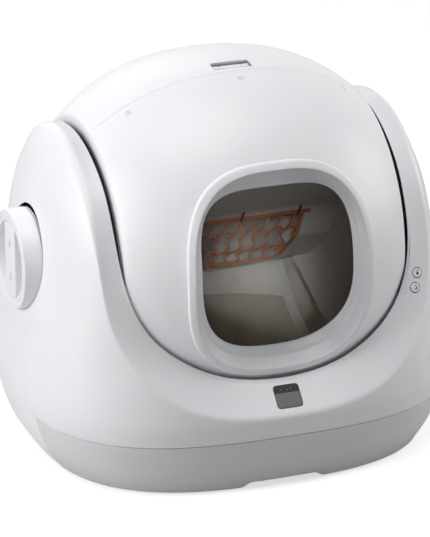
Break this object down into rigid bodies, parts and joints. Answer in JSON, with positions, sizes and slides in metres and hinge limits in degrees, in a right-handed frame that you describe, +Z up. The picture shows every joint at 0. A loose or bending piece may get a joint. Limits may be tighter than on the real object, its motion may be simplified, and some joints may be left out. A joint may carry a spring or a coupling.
{
  "type": "self-cleaning litter box",
  "caption": "Enclosed self-cleaning litter box: a barrel drum with a rounded entry turns in a moulded housing above a pull-out waste drawer, with a side filter knob.",
  "frame": {"origin": "on the floor, under the middle of the object's bounding box", "axes": "+X along the drum's axis towards the side with the buttons, -Y out of the entry, +Z up"},
  "size_m": [0.62, 0.53, 0.552],
  "materials": {
    "white_shell": "satin injection-moulded ABS",
    "light_grey_plastic": "fine-textured moulded ABS",
    "dark_plastic": "matt moulded ABS",
    "grey_plastic": "matt moulded polypropylene",
    "felt": "dense black felt strip",
    "foot_rubber": "matt moulded rubber",
    "orange_plastic": "satin moulded polypropylene",
    "mat_rubber": "matt moulded elastomer",
    "screen": "gloss dark acrylic",
    "circuit_board": "green solder mask",
    "motor_steel": "plated steel can",
    "nylon": "moulded acetal"
  },
  "bodies": {
    "housing": {"base_pan": "white_shell", "rear_panel": "white_shell", "foot_front_left": "foot_rubber", "foot_front_right": "foot_rubber", "foot_rear_left": "foot_rubber", "foot_rear_right": "foot_rubber", "body_shell": "white_shell", "left_side_frame": "dark_plastic", "right_side_frame": "dark_plastic", "left_gap_seal": "felt", "right_gap_seal": "felt", "drive_motor": "motor_steel", "fan_frame": "dark_plastic", "filter_duct": "light_grey_plastic", "display_lens": "screen", "display_board": "circuit_board", "button_board": "circuit_board", "control_board": "circuit_board", "power_socket": "dark_plastic"},
    "drum": {"drum_front": "white_shell", "drum_rear": "white_shell", "left_end_disc": "white_shell", "right_end_disc": "white_shell", "ring_gear": "nylon", "entry_ring": "white_shell", "plug_left": "light_grey_plastic", "plug_middle": "light_grey_plastic", "plug_right": "light_grey_plastic", "litter_partition": "light_grey_plastic", "litter_sieve": "orange_plastic", "sieve_hook_1": "dark_plastic", "sieve_hook_2": "dark_plastic", "sieve_hook_3": "dark_plastic", "sieve_hook_4": "dark_plastic", "litter_mat": "mat_rubber"},
    "latch": {"lid_latch": "light_grey_plastic"},
    "drawer": {"waste_tub": "grey_plastic", "drawer_front": "white_shell"},
    "pinion": {"drive_pinion": "nylon"},
    "knob": {"filter_knob": "white_shell", "filter_cartridge": "grey_plastic"},
    "fan": {"fan_rotor": "grey_plastic"},
    "power_button": {"button_power": "white_shell"},
    "mode_button": {"button_mode": "white_shell"}
  },
  "joints": [
    {"name": "drum_turn", "type": "hinge", "parent": "housing", "child": "drum", "pos_m": [0, 0, 0.287], "axis": [1, 0, 0], "range_deg": [-310, 20]},
    {"name": "pinion_turn", "type": "hinge", "parent": "housing", "child": "pinion", "pos_m": [0.2, 0.07071, 0.20273], "axis": [1, 0, 0], "range_deg": [-80, 1240]},
    {"name": "drawer_slide", "type": "slide", "parent": "housing", "child": "drawer", "axis": [0, -1, 0], "range_m": [0, 0.24]},
    {"name": "knob_turn", "type": "hinge", "parent": "housing", "child": "knob", "pos_m": [-0.28, 0, 0.287], "axis": [1, 0, 0], "range_deg": [0, 90]},
    {"name": "fan_spin", "type": "hinge", "parent": "housing", "child": "fan", "pos_m": [-0.227, 0, 0.287], "axis": [1, 0, 0], "continuous": true},
    {"name": "latch_slide", "type": "slide", "parent": "drum", "child": "latch", "axis": [0, 0.9826, 0.1857], "range_m": [0, 0.003], "stiffness_N_per_m": 120},
    {"name": "power_button_press", "type": "slide", "parent": "housing", "child": "power_button", "axis": [0.1629, 0.9093, -0.383], "range_m": [0, 0.0015], "stiffness_N_per_m": 150},
    {"name": "mode_button_press", "type": "slide", "parent": "housing", "child": "mode_button", "axis": [0.1241, 0.9022, -0.413], "range_m": [0, 0.0015], "stiffness_N_per_m": 150}
  ],
  "couplings": [
    {"joint": "pinion_turn", "follows": "drum_turn", "ratio": -4}
  ]
}
